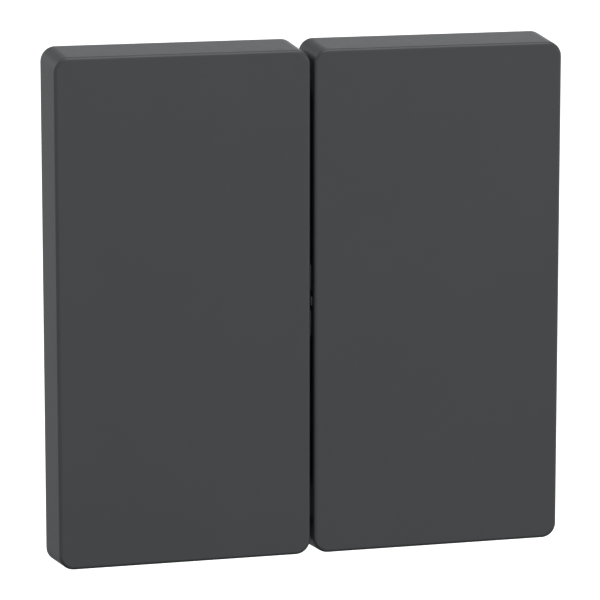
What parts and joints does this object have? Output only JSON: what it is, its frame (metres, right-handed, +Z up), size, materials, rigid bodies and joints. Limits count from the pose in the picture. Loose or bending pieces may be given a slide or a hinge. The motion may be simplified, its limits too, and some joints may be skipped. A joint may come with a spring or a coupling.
{
  "type": "rocker wall switch",
  "caption": "Flush-mounted wall switch with side-by-side square-edged rocker covers on a steel support frame, screwless terminals and spreader claws.",
  "frame": {"origin": "centre of the support frame's rear face, on the wall plane", "axes": "+X to the right seen from the front, +Y into the wall, +Z up"},
  "size_m": [0.071, 0.0371, 0.0706],
  "materials": {
    "rocker_plastic": "fine satin moulded anthracite plastic",
    "carrier_plastic": "smooth ivory plastic",
    "plunger_plastic": "smooth dark plastic",
    "plate_plastic": "fine matte light grey plastic",
    "base_plastic": "fine matte dark grey plastic",
    "button_plastic": "smooth orange plastic",
    "frame_steel": "galvanised sheet steel",
    "screw_steel": "zinc-plated steel",
    "claw_steel": "zinc-plated spring steel",
    "spring_steel": "bright spring steel",
    "brass": "stamped brass",
    "copper": "stamped copper",
    "silver": "silver contact metal"
  },
  "bodies": {
    "housing": {"support_frame": "frame_steel", "bearing_plate": "plate_plastic", "assembly_screws": "screw_steel", "base": "base_plastic", "contact_block": "carrier_plastic", "rear_cover": "base_plastic", "rear_cover_screws": "screw_steel", "line_rail": "brass", "load_blade_left": "brass", "load_blade_right": "brass", "fixed_contact_tips": "silver", "clamp_springs_line": "spring_steel", "clamp_springs_load_left": "spring_steel", "clamp_springs_load_right": "spring_steel"},
    "rocker_left": {"cover_left": "rocker_plastic", "carrier_left": "carrier_plastic", "plunger_spring_left": "spring_steel"},
    "plunger_left": {"plunger_left": "plunger_plastic"},
    "lever_left": {"contact_lever_left": "copper", "moving_tip_left": "silver"},
    "rocker_right": {"cover_right": "rocker_plastic", "carrier_right": "carrier_plastic", "plunger_spring_right": "spring_steel"},
    "plunger_right": {"plunger_right": "plunger_plastic"},
    "lever_right": {"contact_lever_right": "copper", "moving_tip_right": "silver"},
    "button_line": {"release_button_line": "button_plastic"},
    "button_load_left": {"release_button_load_left": "button_plastic"},
    "button_load_right": {"release_button_load_right": "button_plastic"},
    "claw_screw_left": {"claw_screw_left": "screw_steel"},
    "claw_nut_left": {"claw_nut_left": "claw_steel"},
    "claw_left": {"claw_left": "claw_steel"},
    "claw_screw_right": {"claw_screw_right": "screw_steel"},
    "claw_nut_right": {"claw_nut_right": "claw_steel"},
    "claw_right": {"claw_right": "claw_steel"}
  },
  "joints": [
    {"name": "rocker_left_tilt", "type": "hinge", "parent": "housing", "child": "rocker_left", "pos_m": [-0.0115, -0.00652, 0], "axis": [1, 0, 0], "range_deg": [-4, 4]},
    {"name": "plunger_left_slide", "type": "slide", "parent": "rocker_left", "child": "plunger_left", "axis": [0, -1, 0], "range_m": [0, 0.0008], "stiffness_N_per_m": 800, "springref_m": -0.002, "deforming": ["plunger_spring_left"]},
    {"name": "lever_left_tilt", "type": "hinge", "parent": "housing", "child": "lever_left", "pos_m": [-0.0115, 0.006, 0], "axis": [1, 0, 0], "range_deg": [-5, 5]},
    {"name": "rocker_right_tilt", "type": "hinge", "parent": "housing", "child": "rocker_right", "pos_m": [0.0115, -0.00652, 0], "axis": [1, 0, 0], "range_deg": [-4, 4]},
    {"name": "plunger_right_slide", "type": "slide", "parent": "rocker_right", "child": "plunger_right", "axis": [0, -1, 0], "range_m": [0, 0.0008], "stiffness_N_per_m": 800, "springref_m": -0.002, "deforming": ["plunger_spring_right"]},
    {"name": "lever_right_tilt", "type": "hinge", "parent": "housing", "child": "lever_right", "pos_m": [0.0115, 0.006, 0], "axis": [1, 0, 0], "range_deg": [-5, 5]},
    {"name": "release_line_press", "type": "slide", "parent": "housing", "child": "button_line", "axis": [0, -1, 0], "range_m": [0, 0.0018], "stiffness_N_per_m": 1500, "springref_m": -0.001, "deforming": ["clamp_springs_line"]},
    {"name": "release_load_left_press", "type": "slide", "parent": "housing", "child": "button_load_left", "axis": [0, -1, 0], "range_m": [0, 0.0018], "stiffness_N_per_m": 1500, "springref_m": -0.001, "deforming": ["clamp_springs_load_left"]},
    {"name": "release_load_right_press", "type": "slide", "parent": "housing", "child": "button_load_right", "axis": [0, -1, 0], "range_m": [0, 0.0018], "stiffness_N_per_m": 1500, "springref_m": -0.001, "deforming": ["clamp_springs_load_right"]},
    {"name": "claw_screw_left_turn", "type": "hinge", "parent": "housing", "child": "claw_screw_left", "pos_m": [-0.024, 0, 0], "axis": [0, 1, 0], "range_deg": [0, 3600]},
    {"name": "claw_nut_left_travel", "type": "slide", "parent": "housing", "child": "claw_nut_left", "axis": [0, -1, 0], "range_m": [0, 0.006]},
    {"name": "claw_left_spread", "type": "slide", "parent": "housing", "child": "claw_left", "axis": [-0.4226, -0.9063, 0], "range_m": [0, 0.00662]},
    {"name": "claw_screw_right_turn", "type": "hinge", "parent": "housing", "child": "claw_screw_right", "pos_m": [0.024, 0, 0], "axis": [0, 1, 0], "range_deg": [0, 3600]},
    {"name": "claw_nut_right_travel", "type": "slide", "parent": "housing", "child": "claw_nut_right", "axis": [0, -1, 0], "range_m": [0, 0.006]},
    {"name": "claw_right_spread", "type": "slide", "parent": "housing", "child": "claw_right", "axis": [0.4226, -0.9063, 0], "range_m": [0, 0.00662]}
  ],
  "couplings": [
    {"joint": "lever_left_tilt", "follows": "rocker_left_tilt", "ratio": -1.25},
    {"joint": "lever_right_tilt", "follows": "rocker_right_tilt", "ratio": -1.25},
    {"joint": "claw_screw_left_turn", "follows": "claw_nut_left_travel", "rad_per_m": 10472},
    {"joint": "claw_left_spread", "follows": "claw_nut_left_travel", "ratio": 1.1034},
    {"joint": "claw_screw_right_turn", "follows": "claw_nut_right_travel", "rad_per_m": 10472},
    {"joint": "claw_right_spread", "follows": "claw_nut_right_travel", "ratio": 1.1034}
  ]
}
